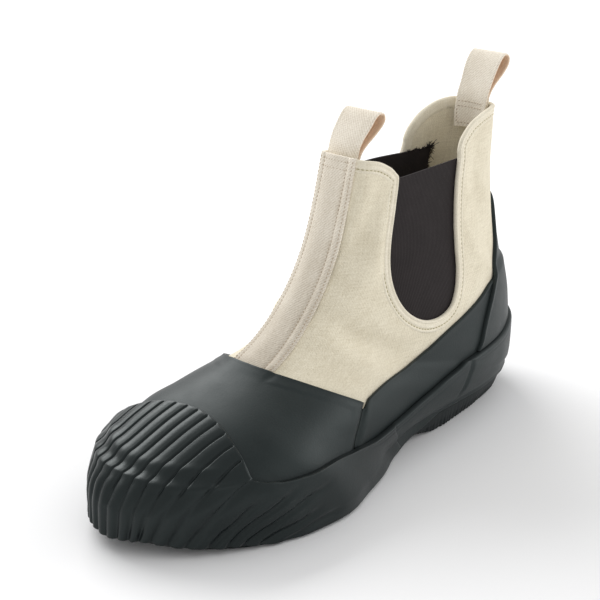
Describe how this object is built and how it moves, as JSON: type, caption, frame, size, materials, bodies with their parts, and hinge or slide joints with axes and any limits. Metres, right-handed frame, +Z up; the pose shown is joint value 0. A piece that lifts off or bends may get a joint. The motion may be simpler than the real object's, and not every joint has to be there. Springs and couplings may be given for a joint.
{
  "type": "chelsea rain boot",
  "caption": "Ankle-high pull-on rain boot for the left foot: cream canvas shaft with dark elastic side gores and pull loops on a charcoal rubber foot with a ribbed toe",
  "frame": {"origin": "on the floor, under the middle of the boot's bounding box", "axes": "+X towards the toe, +Y towards the outer side of the foot, +Z up"},
  "size_m": [0.2961, 0.113, 0.188],
  "materials": {
    "canvas": "undyed cotton canvas, fine plain weave, matt",
    "elastic": "dark ribbed elastic webbing, matt",
    "tape": "ivory cotton twill tape, matt",
    "rubber": "charcoal moulded rubber, satin with a slight grain",
    "sole_rubber": "charcoal moulded rubber, matt, rougher than the wall",
    "insole": "cloth-covered sponge, matt"
  },
  "bodies": {
    "root": {"upper": "canvas", "gore_outer": "elastic", "gore_inner": "elastic", "front_strip": "tape", "pull_loop_front": "tape", "pull_loop_back": "tape", "vamp_rubber": "rubber", "quarter_rubber": "rubber", "heel_counter": "rubber", "rear_foxing": "rubber", "toe_guard": "rubber", "outsole": "sole_rubber", "insole": "insole"}
  },
  "joints": []
}
